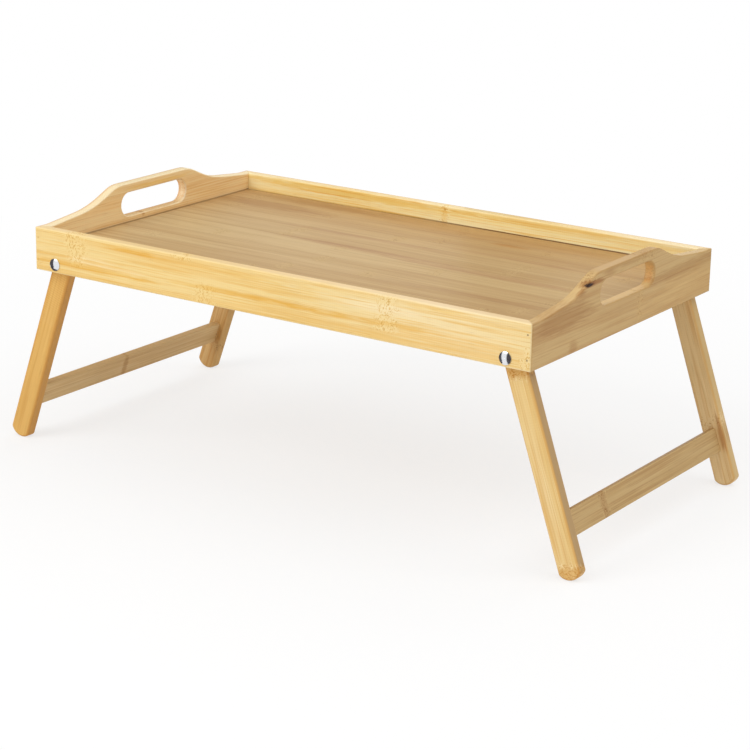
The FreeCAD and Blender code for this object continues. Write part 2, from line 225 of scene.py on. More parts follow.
# %% [markdown]
# ## Fibres
# Bamboo is a bundle of straight fibres. Looked at along a board they make broad pale zones, soft
# amber wisps as long as a finger, pin stripes, and short dark dashes where a vessel was cut
# open. Noise that is stretched along the grain gives them all. It is solid noise, so a cut
# across the grain shows the small speckles that real end grain shows.

# %% Fibre group
SEED_SHIFT = (0.731, 0.173, 0.397)
SWAY_STRETCH, SWAY_REACH = (4.0, 22.0, 22.0), 0.0024
FIBRE_KINDS = {  # features per metre along each axis, and detail
    "Broad": ((3.0, 62.0, 62.0), 1.0),
    "Wisp": ((9.0, 250.0, 250.0), 2.0),
    "Stripe": ((11.0, 820.0, 820.0), 2.0),
    "Fibre": ((24.0, 2400.0, 2400.0), 1.0),
    "Dash": ((60.0, 2300.0, 2300.0), 1.0),
}
OPEN_VESSEL = (0.64, 0.76)


def make_fibre_group():
    graph, given, tree = start_group(
        "bamboo_fibres", {"Grain": "vector", "Seed": "value"},
        {kind: "value" for kind in FIBRE_KINDS})
    seed = given["Seed"]
    shift = graph.vector("MULTIPLY", graph.join(seed, seed, seed), SEED_SHIFT)
    place = graph.vector("ADD", given["Grain"], shift)
    sway = graph.swing(graph.noise(place, SWAY_STRETCH, detail=1.0), SWAY_REACH)
    place = graph.vector("ADD", place, graph.join(0.0, sway, sway))
    masks = {kind: graph.noise(place, stretch, detail)
             for kind, (stretch, detail) in FIBRE_KINDS.items()}
    masks["Dash"] = graph.fade(masks["Dash"], *OPEN_VESSEL)
    end_group(graph, masks)
    return tree


fibre_group = make_fibre_group()
print("fibre group:", [item.name for item in fibre_group.interface.items_tree])

# %% [markdown]
# ## Growth rings
# Every 20 to 40 cm a bamboo stem has a joint, where the fibres knit across. In a planed strip
# it shows as a short band of wavy pale and amber flecks. The band sits at one place along the
# grain, and crosses only the strip that it grew in, so the mask is a soft window both ways.

# %% Growth ring group
RAGGED_STRETCH = (60.0, 260.0, 260.0)
RING_RAGGED, RING_CORE, RING_SOFT_END = 0.022, 0.35, 0.003


def make_ring_group():
    graph, given, tree = start_group(
        "growth_ring",
        {"Grain": "vector", "Along": "value", "Across": "value", "Reach": "value",
         "Width": "value"},
        {"Ring": "value"})
    along, across, _through = graph.split(given["Grain"])
    ragged = graph.swing(graph.noise(given["Grain"], RAGGED_STRETCH, detail=2.0), RING_RAGGED)
    offset = graph.math("ABSOLUTE", graph.math(
        "ADD", graph.math("SUBTRACT", along, given["Along"]), ragged))
    core = graph.math("MULTIPLY", given["Width"], RING_CORE)
    band = graph.fade(offset, core, given["Width"], 1.0, 0.0)
    soft_end = graph.math("ADD", given["Reach"], RING_SOFT_END)
    window = graph.fade(graph.apart(across, given["Across"]), given["Reach"], soft_end, 1.0, 0.0)
    end_group(graph, {"Ring": graph.math("MULTIPLY", band, window)})
    return tree


ring_group = make_ring_group()
print("ring group:", [item.name for item in ring_group.interface.items_tree])

# %% [markdown]
# ## Strips
# Boards are pressed from strips that are glued edge to edge. Each strip came from another
# stem, so it has its own tone, and a hairline of glue marks the seam. One-dimensional Voronoi
# cells are strips: a random colour per cell, and a distance to the nearest edge.

# %% Strip group
STRIP_VARIETY, GLUE_LINE = 0.45, 0.0004
STRIP_RING, STRIP_RING_RAGGED, STRIP_RING_SPREAD = (0.003, 0.009), 0.09, 9.0


def make_strip_group():
    graph, given, tree = start_group(
        "glued_strips",
        {"Grain": "vector", "Place": "value", "Width": "value", "Seed": "value",
         "Ring spacing": "value"},
        {"Tone": "value", "Seam": "value", "Ring": "value"})
    along, _across, _through = graph.split(given["Grain"])
    cell = graph.math("ADD", graph.math("DIVIDE", given["Place"], given["Width"]), given["Seed"])
    sockets = {"W": cell, "Scale": 1.0, "Randomness": STRIP_VARIETY}
    strips = graph.node("ShaderNodeTexVoronoi", sockets,
                        voronoi_dimensions="1D", feature="F1").outputs
    seams = graph.node("ShaderNodeTexVoronoi", sockets, voronoi_dimensions="1D",
                       feature="DISTANCE_TO_EDGE").outputs["Distance"]
    chance = graph.node("ShaderNodeSeparateColor", {0: strips["Color"]}).outputs
    seam_width = graph.math("DIVIDE", GLUE_LINE, given["Width"])
    ragged = graph.swing(graph.noise(given["Grain"], RAGGED_STRETCH, detail=2.0),
                         STRIP_RING_RAGGED)
    turns = graph.math("ADD", graph.math("DIVIDE", along, given["Ring spacing"]),
                       graph.math("MULTIPLY", chance["Green"], STRIP_RING_SPREAD))
    turn = graph.math("FRACT", graph.math("ADD", turns, ragged))
    distance = graph.math("MULTIPLY", graph.apart(turn, 0.5), given["Ring spacing"])
    end_group(graph, {
        "Tone": chance["Red"],
        "Seam": graph.fade(seams, 0.0, seam_width, 1.0, 0.0),
        "Ring": graph.fade(distance, *STRIP_RING, 1.0, 0.0),
    })
    return tree


strip_group = make_strip_group()
print("strip group:", [item.name for item in strip_group.interface.items_tree])

# %% [markdown]
# ## Faces, spots and joints
# A board's wide faces, narrow faces and sanded edges were cut at different angles through the
# fibres, and each has its own tone. The slope of the normal against the board's own directions
# tells them apart. A spot is a soft ball at a place, stretched along the grain for a wisp or a
# knot. A mitre line is the plane where two boards meet.

# %% Face and spot groups
ROUNDED_EDGE, NARROW_FACE = (0.1, 0.9), (0.55, 0.95)
SPOT_STRETCH, SPOT_CORE = (60.0, 620.0, 620.0), 0.35


def make_face_group():
    graph, given, tree = start_group(
        "board_faces", {"Normal": "vector", "Through": "vector", "Across": "vector"},
        {"Edge": "value", "Narrow": "value"})

    def slope(direction):
        return graph.node("ShaderNodeVectorMath", {0: given["Normal"], 1: given[direction]},
                          operation="DOT_PRODUCT").outputs["Value"]

    square = graph.math("POWER", graph.math("ABSOLUTE", slope("Through")), 2.0)
    rounding = graph.math("MULTIPLY", graph.math("MULTIPLY", square, 4.0),
                          graph.math("SUBTRACT", 1.0, square))
    narrow = graph.math("ABSOLUTE", slope("Across"))
    end_group(graph, {"Edge": graph.fade(rounding, *ROUNDED_EDGE),
                      "Narrow": graph.fade(narrow, *NARROW_FACE)})
    return tree


def make_spot_group():
    graph, given, tree = start_group(
        "wood_spot", {"Grain": "vector", "Centre": "vector", "Stretch": "vector",
                      "Size": "value"},
        {"Spot": "value"})
    offset = graph.vector("MULTIPLY", graph.vector("SUBTRACT", given["Grain"], given["Centre"]),
                          given["Stretch"])
    ragged = graph.swing(graph.noise(given["Grain"], SPOT_STRETCH, detail=2.0), given["Size"])
    reach = graph.math("ADD", graph.length(offset), ragged)
    core = graph.math("MULTIPLY", given["Size"], SPOT_CORE)
    end_group(graph, {"Spot": graph.fade(reach, core, given["Size"], 1.0, 0.0)})
    return tree


face_group, spot_group = make_face_group(), make_spot_group()
print("nodes in the face and spot groups:", len(face_group.nodes), len(spot_group.nodes))

# %% Mitre group
MITRE_LINE = (0.00005, 0.0005)


def inside_tray(graph, x, y, border=0.0):
    """How far a place is inside the tray's ends and inside its sides, less a border."""
    return [graph.math("SUBTRACT", half - border, graph.math("ABSOLUTE", value))
            for half, value in ((HALF_LENGTH, x), (HALF_WIDTH, y))]


def make_mitre_group():
    """The line where two boards meet at 45 degrees, at all four corners of the tray."""
    graph, given, tree = start_group("mitre_line", {"Object": "vector"}, {"Line": "value"})
    x, y, _z = graph.split(given["Object"])
    from_end, from_side = inside_tray(graph, x, y)
    end_group(graph, {"Line": graph.fade(graph.apart(from_end, from_side), *MITRE_LINE,
                                         1.0, 0.0)})
    return tree


mitre_group = make_mitre_group()
print("mitre lines run to the corners at", round(HALF_LENGTH, 4), round(HALF_WIDTH, 4))

# %% [markdown]
# ## Bamboo colour
# All the masks meet here. The body tone is lightened in broad zones and warmed by amber wisps,
# stripes and fibres vary it finely, and a growth ring bends the grain and scatters flecks. The
# planer leaves fine ripples across the grain. The same masks give a height for the bump and a
# gloss that follows the lacquer: duller on open grain.

# %% Bamboo group
RIPPLE_LENGTH, FULL_TURN = 0.0021, 6.2832
FLECK_STRETCH, FLECK_SWIRL, RING_BEND = (430.0, 290.0, 290.0), 1.8, 0.006
PALE_FLECK, AMBER_FLECK, BROWN_FLECK = (0.48, 0.58), (0.47, 0.36), (0.42, 0.33)
STRIP_LIFT = 0.5
GRAIN_TONES = [  # a mask, where it starts and ends, how much, and the tone that it brings
    ("Broad", 0.4, 0.66, 0.9, "Pale"), ("Broad", 0.46, 0.24, 0.6, "Amber"),
    ("Wisp", 0.53, 0.7, 0.65, "Amber"), ("Wisp", 0.46, 0.3, 0.6, "Pale"),
    ("Stripe", 0.52, 0.68, 0.75, "Amber"), ("Stripe", 0.47, 0.31, 0.7, "Pale"),
]
BAMBOO_INPUTS = {
    "Grain": "vector", "Seed": "value", "Ring": "value", "Tone": "value", "Seam": "value",
    "Edge": "value", "Narrow": "value", "Spot": "value", "Line": "value",
    "Body": "colour", "Pale": "colour", "Amber": "colour", "Dark": "colour", "Side": "colour",
    "Rim": "colour", "Knot": "colour", "Contrast": "value", "Ripple": "value", "Gloss": "value",
}


def make_bamboo_group():
    graph, given, tree = start_group(
        "pressed_bamboo", BAMBOO_INPUTS,
        {"Colour": "colour", "Roughness": "value", "Height": "value"})
    ring, colour = given["Ring"], given["Body"]
    flecks = graph.noise(given["Grain"], FLECK_STRETCH, detail=2.0, distortion=FLECK_SWIRL)
    bend = graph.math("MULTIPLY", graph.swing(flecks, RING_BEND), ring)
    grain = graph.vector("ADD", given["Grain"], graph.join(0.0, bend, bend))
    fibres = graph.use(fibre_group, {"Grain": grain, "Seed": given["Seed"]})

    lift = graph.swing(given["Tone"], STRIP_LIFT)
    masks = {"Broad": graph.math("ADD", fibres["Broad"], lift),
             "Wisp": fibres["Wisp"], "Stripe": fibres["Stripe"]}
    for name, low, high, amount, brought in GRAIN_TONES:
        share = graph.math("MULTIPLY", graph.fade(masks[name], low, high), amount)
        colour = graph.mix(graph.math("MULTIPLY", share, given["Contrast"]), colour,
                           given[brought])
    along = graph.split(given["Grain"])["X"]
    waves = graph.math("SINE", graph.math("MULTIPLY", along, FULL_TURN / RIPPLE_LENGTH))
    fine = graph.total(0.93, [(fibres["Fibre"], 0.14), (waves, given["Ripple"])])
    colour = graph.mix(1.0, colour, graph.join(fine, fine, fine), mode="MULTIPLY")

    def fleck(low, high):
        return graph.math("MULTIPLY", graph.fade(flecks, low, high), ring)

    pale_fleck = fleck(*PALE_FLECK)
    layers = [
        (fibres["Dash"], 0.22, "Dark"), (given["Narrow"], 0.8, "Side"), (ring, 0.25, "Pale"),
        (pale_fleck, 0.6, "Pale"), (fleck(*AMBER_FLECK), 0.8, "Amber"),
        (fleck(*BROWN_FLECK), 0.3, "Dark"), (given["Edge"], 0.6, "Rim"),
        (given["Seam"], 0.3, "Dark"), (given["Line"], 0.3, "Dark"), (given["Spot"], 1.0, "Knot"),
    ]
    for mask, amount, brought in layers:
        colour = graph.mix(graph.math("MULTIPLY", mask, amount), colour, given[brought])

    rough = graph.total(given["Gloss"], [(fibres["Fibre"], 0.14), (ring, 0.1),
                                         (given["Edge"], 0.05)])
    height = graph.total(0.0, [
        (fibres["Fibre"], 0.5), (fibres["Dash"], -0.5), (fibres["Stripe"], 0.4),
        (pale_fleck, 0.5), (waves, given["Ripple"]),
        (given["Seam"], -1.0), (given["Line"], -1.0), (given["Spot"], -1.0)])
    end_group(graph, {"Colour": colour, "Roughness": rough, "Height": height})
    return tree


bamboo_group = make_bamboo_group()
print("bamboo group nodes:", len(bamboo_group.nodes))

# %% [markdown]
# ## One board, one material
# Each board has its own grain direction. A Mapping node of type Texture lays a small frame on
# the board: x runs along the grain, y across the wide face, z through the thickness. Growth
# rings, stains and knots are then given by their place in that frame, as on the real board. A
# stain multiplies the colour, so one that is brighter than white is a gleam: mostly a paler zone
# of the wood, but painted light at the slots of the end boards and at the back rail's right end.

# %% Board materials
KNOT_BROWN = tone(60, 36, 16)
PLAIN_STRIP, STRIP_RING_STRENGTH = 0.5, 0.55
RELIEF_DEPTH = 0.0004
LACQUER_IOR, LACQUER_SHINE = 1.45, 0.2


def strongest(graph, masks):
    """The larger of several masks, or nothing at all."""
    result = masks[0] if masks else 0.0
    for mask in masks[1:]:
        result = graph.math("MAXIMUM", result, mask)
    return result


def board_material(name, origin, along, across, palette, seed, rings=(), spots=(), stains=(),
                   strips=None, mitred=False, shade=None, contrast=0.9, ripple=0.01,
                   gloss=0.36, bump=0.2):
    """Bamboo on one board. Rings are (along, across, reach, width), spots (centre, stretch,
    size), stains the same with a tint and its strength, strips (axis, width, ring spacing),
    shade a function that changes the finished colour."""
    material = bpy.data.materials.new(name)
    graph = clean_graph(material)
    place = graph.node("ShaderNodeTexCoord").outputs
    along, across = Vector(along).normalized(), Vector(across).normalized()
    through = along.cross(across)
    turn = Matrix((along, across, through)).transposed().to_euler()
    grain = graph.node("ShaderNodeMapping", {"Vector": place["Object"], "Location": origin,
                                             "Rotation": turn}, vector_type="TEXTURE").outputs[0]
    faces = graph.use(face_group, {"Normal": place["Normal"], "Across": across,
                                   "Through": through})

    masks = [graph.use(ring_group, {"Grain": grain, "Along": ring[0], "Across": ring[1],
                                    "Reach": ring[2], "Width": ring[3]})["Ring"]
             for ring in rings]
    strip_tone, seam = PLAIN_STRIP, 0.0
    if strips:
        axis, width, spacing = strips
        bands = graph.use(strip_group, {
            "Grain": grain, "Place": graph.split(grain)[axis], "Width": width, "Seed": seed,
            "Ring spacing": spacing})
        strip_tone, seam = bands["Tone"], bands["Seam"]
        masks.append(graph.math("MULTIPLY", bands["Ring"], STRIP_RING_STRENGTH))

    def spot(centre, stretch, size):
        return graph.use(spot_group, {"Grain": grain, "Centre": centre, "Stretch": stretch,
                                      "Size": size})["Spot"]

    line = graph.use(mitre_group, {"Object": place["Object"]})["Line"] if mitred else 0.0
    finish = graph.use(bamboo_group, {
        "Grain": grain, "Seed": seed, "Ring": strongest(graph, masks), "Tone": strip_tone,
        "Seam": seam, "Edge": faces["Edge"], "Narrow": faces["Narrow"], "Line": line,
        "Spot": strongest(graph, [spot(*mark) for mark in spots]),
        "Body": palette["body"], "Pale": palette["pale"], "Amber": palette["amber"],
        "Dark": palette["dark"], "Side": palette["side"],
        "Rim": palette.get("rim", palette["pale"]), "Knot": KNOT_BROWN, "Contrast": contrast,
        "Ripple": ripple, "Gloss": gloss})
    colour = finish["Colour"]
    for centre, stretch, size, tint, strength in stains:
        amount = graph.math("MULTIPLY", spot(centre, stretch, size), strength)
        colour = graph.mix(amount, colour, tint, mode="MULTIPLY")
    if shade:
        colour = shade(graph, place["Object"], colour)
    relief = graph.node("ShaderNodeBump", {"Height": finish["Height"], "Strength": bump,
                                           "Distance": RELIEF_DEPTH}).outputs[0]
    shader = graph.node("ShaderNodeBsdfPrincipled", {
        "Base Color": colour, "Roughness": finish["Roughness"], "Normal": relief,
        "IOR": LACQUER_IOR, "Specular IOR Level": LACQUER_SHINE})
    graph.node("ShaderNodeOutputMaterial", {0: shader.outputs[0]})
    return material


def dress(node, material):
    """Puts a material on a CAD node and says so."""
    nodes[node].material_slots[0].material = material
    print(f"{node}: {material.name}")


# %% [markdown]
# ## The tray's painted shade
# Two things depend on the place in the tray and not on the board, and both are painted light.
# Outer faces are less pale than the sheltered inner ones: where a board's tones are raised as
# painted light for its inner face, a painted shade takes the outer faces back down. And a thin
# dark gap shows along the panel, where it enters the groove of each board. The real gap is a
# fifth of a millimetre and nearly lost in a picture, so a brown hairline on the inner faces,
# just above the panel, paints its shadow deeper.

# %% Tray shade
# Painted shade for the outer faces, over the skin below them.
OUTER_PAINTED_SHADE, OUTER_SKIN = tone(238, 218, 206), (0.001, 0.004)
INNER_FACE = (0.006, 0.009)
# The groove's painted shadow: a brown hairline a little above the panel's top.
GROOVE_SHADOW_BROWN, GROOVE_RISE = tone(120, 76, 34), 0.0003
GROOVE_LINE, GROOVE_TURN = (0.0003, 0.0008), (-0.12, 0.04)


def tray_shade(paint_outer_shade, line_left, line_right):
    """Painted light for a board of the tray: painted shade on outer faces where that is set,
    and the painted shadow hairline, with its strength at the left and at the right."""
    def shade(graph, place, colour):
        x, y, z = graph.split(place)
        inwards = graph.math("MINIMUM", *inside_tray(graph, x, y))
        if paint_outer_shade:
            # Painted shade: outer faces darker than the inner faces' raised tones.
            outside = graph.fade(inwards, *OUTER_SKIN, 1.0, 0.0)
            colour = graph.mix(outside, colour, OUTER_PAINTED_SHADE, mode="MULTIPLY")
        # Painted shadow of the groove gap, on the inner faces just above the panel.
        height = graph.apart(z, PANEL_TOP_Z + GROOVE_RISE)
        line = graph.math("MULTIPLY", graph.fade(height, *GROOVE_LINE, 1.0, 0.0),
                          graph.fade(inwards, *INNER_FACE))
        strength = graph.fade(x, *GROOVE_TURN, line_left, line_right)
        return graph.mix(graph.math("MULTIPLY", line, strength), colour, GROOVE_SHADOW_BROWN)
    return shade


print("groove line at", round(PANEL_TOP_Z + GROOVE_RISE, 4))

# %% [markdown]
# ## Rails
# The two long rails are the brightest wood: pale yellow with amber wisps, and cream on the
# sanded upper edge. The front rail shows five growth rings, and its deepest amber runs along
# the lower third. The back rail is seen from inside, with one ring near its middle. Its tones
# are raised above the front rail's as painted light, since the lamps leave its inner face
# darker, with more painted light at its right end. A painted shade takes its outer face back
# down.

# %% Rails
FRONT_TONES = {"body": tone(237, 201, 133), "pale": tone(243, 219, 163),
               "amber": tone(231, 185, 98), "dark": tone(160, 108, 52),
               "side": tone(236, 209, 163), "rim": tone(250, 230, 182)}
# Raised above the front rail's tones: painted light for the inner face.
BACK_TONES_WITH_PAINTED_LIGHT = {"body": tone(255, 237, 170), "pale": tone(255, 241, 192),
              "amber": tone(246, 206, 120), "dark": tone(160, 108, 52),
              "side": tone(240, 216, 166), "rim": tone(255, 240, 200)}
AMBER_TINT, WARM_TINT = tone(251, 239, 205), tone(253, 248, 232)
GOLD_TINT = tone(247, 228, 180)
PALE_GLEAM = (1.04, 1.09, 1.30, 1.0)
# Painted light for the right end of the back rail's inner face.
COOL_PAINTED_LIGHT = (1.0, 1.04, 1.18, 1.0)
RAIL_SEED = 1.7

rail_looks = {
    "front": {
        "palette": FRONT_TONES, "contrast": 0.88, "shade": tray_shade(False, 0.2, 0.9),
        "rings": [(-0.203, 0.006, 0.0135, 0.015), (-0.064, -0.012, 0.009, 0.015),
                  (0.118, 0.004, 0.013, 0.013), (0.2455, -0.010, 0.0085, 0.007),
                  (-0.086, 0.020, 0.0035, 0.012)],
        "stains": [
            ((-0.184, -0.0030, -0.005), (0.12, 0.8, 0.1), 0.0050, PALE_GLEAM, 1.0),
            ((-0.150, -0.0050, -0.005), (0.09, 1.0, 0.1), 0.0032, PALE_GLEAM, 0.8),
            ((0.105, 0.0080, -0.005), (0.08, 0.8, 0.1), 0.0046, PALE_GLEAM, 0.8),
            ((0.175, 0.0, -0.005), (0.14, 0.3, 0.1), 0.0100, PALE_GLEAM, 0.4),
            ((-0.12, 0.0, -0.005), (0.11, 0.2, 0.1), 0.0300, WARM_TINT, 1.0),
            ((-0.02, -0.0045, -0.005), (0.03, 1.0, 0.1), 0.0034, AMBER_TINT, 1.0),
            ((0.05, -0.0050, -0.005), (0.03, 1.0, 0.1), 0.0028, AMBER_TINT, 1.0),
            ((-0.19, -0.0085, -0.005), (0.05, 1.0, 0.1), 0.0040, AMBER_TINT, 1.0),
            ((-0.145, 0.0145, -0.005), (0.07, 1.0, 0.1), 0.0030, AMBER_TINT, 1.0),
            ((-0.138, 0.0128, -0.005), (0.06, 1.0, 0.1), 0.0026, AMBER_TINT, 0.9),
            ((-0.131, -0.0098, -0.005), (0.08, 1.0, 0.1), 0.0024, AMBER_TINT, 1.0),
            ((-0.03, 0.0120, -0.005), (0.04, 1.0, 0.1), 0.0030, AMBER_TINT, 0.6),
            ((0.167, 0.0155, -0.005), (0.06, 1.0, 0.1), 0.0026, AMBER_TINT, 0.9),
            ((0.135, -0.0035, -0.005), (0.06, 1.0, 0.1), 0.0030, AMBER_TINT, 0.9),
        ]},
    "back": {
        "palette": BACK_TONES_WITH_PAINTED_LIGHT, "contrast": 1.1, "shade": tray_shade(True, 0.2, 0.9),
        "rings": [(-0.015, 0.010, 0.010, 0.006)],
        "stains": [
            ((-0.12, 0.0150, 0.005), (0.03, 0.9, 0.1), 0.0052, GOLD_TINT, 0.9),
            ((0.08, 0.0165, 0.005), (0.03, 0.9, 0.1), 0.0040, GOLD_TINT, 0.6),
            ((-0.15, -0.0020, 0.005), (0.05, 0.4, 0.1), 0.0080, AMBER_TINT, 0.7),
            ((-0.015, 0.0110, 0.005), (1.0, 0.4, 0.1), 0.0046, GOLD_TINT, 0.6),
            # Painted light at the right end of the inner face.
            ((0.19, 0.0080, 0.005), (0.09, 0.6, 0.1), 0.0110, COOL_PAINTED_LIGHT, 1.0),
        ]},
}
for side_name, side in SIDES.items():
    middle = (0.0, side * (HALF_WIDTH - BOARD_THICKNESS / 2), RAIL_MIDDLE_Z)
    dress(f"{side_name}_rail", board_material(
        f"{side_name}_rail_bamboo", middle, (1, 0, 0), (0, 0, 1), seed=RAIL_SEED + side,
        mitred=True, **rail_looks[side_name]))

# %% [markdown]
# ## End boards
# The boards with the grips are browner and calmer. On the right one an amber-brown strip runs
# beside the grip, a dark knot with a long brown tail sits on the slope, and the top of the grip
# is flecked. The right one's rounded edges are darker, a painted shade. The left one is paler,
# as painted light for its sheltered inner face, with two small brown marks beside its slot. The
# far end of each slot has a painted highlight, and painted light lifts the floor of the right
# slot.

# %% End boards
# Its rim tone, on the rounded edges, is darker than the body: a painted shade.
RIGHT_TONES = {"body": tone(199, 163, 109), "pale": tone(208, 176, 121),
               "amber": tone(185, 141, 87), "dark": tone(140, 98, 54),
               "side": tone(214, 181, 124), "rim": tone(194, 156, 102)}
# Paler than the right board: painted light for the sheltered inner face.
LEFT_TONES_WITH_PAINTED_LIGHT = {"body": tone(249, 214, 156), "pale": tone(253, 230, 180),
              "amber": tone(231, 182, 114), "dark": tone(150, 98, 50),
              "side": tone(244, 226, 184), "rim": tone(250, 236, 202)}
BROWN_TINT, DEEP_TINT = tone(232, 220, 208), tone(204, 168, 134)
GRIP_TINT, SLOT_TINT = tone(236, 227, 216), tone(240, 223, 202)
# Lightens a zone; on the floor of the right slot it is painted light.
LIGHT_GLEAM = (1.09, 1.09, 1.06, 1.0)
# Painted highlights for the far ends of the slots.
ORANGE_PAINTED_HIGHLIGHT = (1.16, 1.02, 0.88, 1.0)
CREAM_PAINTED_HIGHLIGHT = (1.05, 1.12, 1.36, 1.0)
END_BOARD_SEED = 6.3

end_board_looks = {
    "right": {
        "palette": RIGHT_TONES, "contrast": 0.8, "shade": tray_shade(False, 0.6, 0.6),
        "rings": [(0.0200, -0.004, 0.018, 0.004), (0.032, 0.039, 0.005, 0.024),
                  (-0.059, 0.040, 0.006, 0.011)],
        "spots": [((-0.0650, 0.0312, 0.0055), (0.42, 1.5, 0.8), 0.0034)],
        "stains": [
            ((-0.105, 0.0130, 0.004), (0.14, 0.6, 0.1), 0.0090, BROWN_TINT, 1.0),
            ((0.100, 0.0120, 0.004), (0.06, 0.8, 0.1), 0.0060, BROWN_TINT, 0.9),
            ((0.120, -0.0060, 0.004), (0.08, 0.5, 0.1), 0.0110, LIGHT_GLEAM, 1.0),
            # Painted light on the floor of the slot, which lies in shade.
            ((0.0, 0.0093, 0.0), (0.04, 0.6, 0.7), 0.0036, LIGHT_GLEAM, 1.0),
            # Painted highlight at the far end of the slot, a little warmer.
            ((0.0430, 0.0190, 0.0), (0.7, 0.35, 0.7), 0.0044, ORANGE_PAINTED_HIGHLIGHT, 1.0),
            ((-0.0660, 0.0320, 0.0050), (0.34, 1.0, 0.5), 0.0046, DEEP_TINT, 0.8),
            ((0.0, 0.0395, 0.0), (0.06, 1.0, 0.2), 0.0058, GRIP_TINT, 1.0),
            ((-0.0780, 0.0280, 0.0045), (0.20, 0.8, 0.8), 0.0026, DEEP_TINT, 0.6),
            ((-0.0520, 0.0318, 0.0050), (0.16, 1.0, 0.4), 0.0028, DEEP_TINT, 0.8),
            ((-0.0310, 0.0345, 0.0050), (0.20, 0.8, 0.2), 0.0030, DEEP_TINT, 0.35),
            ((-0.0864, -0.0143, 0.0040), (0.5, 0.6, 0.2), 0.0046, DEEP_TINT, 0.4),
        ]},
    "left": {
        "palette": LEFT_TONES_WITH_PAINTED_LIGHT, "contrast": 0.68, "shade": tray_shade(True, 0.45, 0.45),
        "stains": [
            # Painted highlight at the far end of the slot.
            ((0.0430, 0.0175, 0.0), (0.7, 0.4, 0.6), 0.0048, CREAM_PAINTED_HIGHLIGHT, 1.0),
            ((-0.004, 0.0088, 0.0), (0.04, 0.6, 0.7), 0.0038, SLOT_TINT, 1.0),
            ((-0.0159, 0.0073, -0.004), (0.7, 0.7, 0.2), 0.0026, DEEP_TINT, 0.8),
            ((0.0384, 0.0295, -0.004), (0.8, 0.8, 0.2), 0.0026, DEEP_TINT, 0.8),
            ((0.010, 0.0335, -0.004), (0.05, 1.0, 0.1), 0.0032, AMBER_TINT, 1.0),
            ((0.085, 0.0110, -0.004), (0.09, 0.8, 0.1), 0.0040, AMBER_TINT, 0.2),
        ]},
}
for end_name, end in ENDS.items():
    middle = (end * (HALF_LENGTH - BOARD_THICKNESS / 2), 0.0, RAIL_MIDDLE_Z)
    dress(f"{end_name}_handle_board", board_material(
        f"{end_name}_board_bamboo", middle, (0, 1, 0), (0, 0, 1), seed=END_BOARD_SEED + end,
        mitred=True, **end_board_looks[end_name]))

# %% [markdown]
# ## Panel
# The tray's floor is thin plywood of darker bamboo. Its strips run the long way, a finger wide,
# each in its own tan: mauve and brown ones through the middle, an orange one near the back.
# Painted shade darkens and browns it towards the right and the back, where less light falls,
# and a painted shadow darkens the colour in the last millimetre, where it meets the boards.

# %% Panel
PANEL_TONES = {"body": tone(197, 166, 118), "pale": tone(208, 180, 130),
               "amber": tone(180, 143, 94), "dark": tone(98, 62, 32),
               "side": tone(182, 146, 102)}
GREY_TINT, ORANGE_TINT = tone(240, 232, 228), tone(246, 228, 200)
MAUVE_TINT = tone(242, 232, 231)
# Painted shade: darker towards the right and the back, where less light falls.
RIGHT_SHADE_TINT, RIGHT_SHADE_FADE = tone(249, 246, 239), (-0.10, 0.12)
BACK_SHADE_TINT, BACK_SHADE_FADE = tone(245, 235, 223), (0.02, 0.10)
# Painted shadow along the boards, in the panel's last millimetre.
BORDER_SHADOW_FADE, BORDER_SHADOW_STRENGTH = (0.0006, 0.0016), 0.45
STRIP_AXIS, STRIP_WIDTH, STRIP_RING_SPACING = 1, 0.019, 0.23
PANEL_SEED = 3.1
PANEL_STAINS = [
    ((-0.02, 0.0105, 0.0), (0.06, 1.0, 0.1), 0.0076, MAUVE_TINT, 1.0),
    ((0.12, 0.0035, 0.0), (0.06, 1.0, 0.1), 0.0090, MAUVE_TINT, 1.0),
    ((-0.04, 0.0480, 0.0), (0.05, 1.0, 0.1), 0.0064, MAUVE_TINT, 0.8),
    ((0.10, 0.0640, 0.0), (0.06, 1.0, 0.1), 0.0070, MAUVE_TINT, 0.7),
    ((0.078, 0.1010, 0.0), (0.20, 1.0, 0.1), 0.0056, ORANGE_TINT, 1.0),
    ((0.03, 0.120, 0.0), (0.055, 0.6, 0.1), 0.0120, ORANGE_TINT, 0.4),
    ((-0.18, 0.098, 0.0), (0.10, 0.5, 0.1), 0.0090, BROWN_TINT, 0.9),
    ((-0.14, 0.128, 0.0), (0.08, 0.6, 0.1), 0.0080, BROWN_TINT, 0.7),
    ((0.14, -0.060, 0.0), (0.05, 0.7, 0.1), 0.0060, GREY_TINT, 0.8),
]


def paint_panel_shade(graph, place, colour):
    """Painted shade towards the right and the back, and a painted shadow along the boards."""
    x, y, _z = graph.split(place)
    # Painted shade towards the right and the back.
    colour = graph.mix(graph.fade(x, *RIGHT_SHADE_FADE), colour, RIGHT_SHADE_TINT, mode="MULTIPLY")
    colour = graph.mix(graph.fade(y, *BACK_SHADE_FADE), colour, BACK_SHADE_TINT, mode="MULTIPLY")
    inwards = graph.math("MINIMUM", *inside_tray(graph, x, y, BOARD_THICKNESS))
    # Painted shadow along the boards.
    border = graph.fade(inwards, *BORDER_SHADOW_FADE, BORDER_SHADOW_STRENGTH, 0.0)
    return graph.mix(border, colour, PANEL_TONES["dark"])


dress("tray_panel", board_material(
    "panel_bamboo", (0.0, 0.0, PANEL_TOP_Z), (1, 0, 0), (0, 1, 0), PANEL_TONES,
    seed=PANEL_SEED, strips=(STRIP_AXIS, STRIP_WIDTH, STRIP_RING_SPACING), stains=PANEL_STAINS,
    shade=paint_panel_shade, contrast=0.62, gloss=0.42))

# %% [markdown]
# ## Legs
# The grain of a leg runs down the leg, so its frame starts at the pivot and leans with the
# open splay. The narrow sides are browner. The front left leg is more orange than the others
# and shows the planer's ripples.

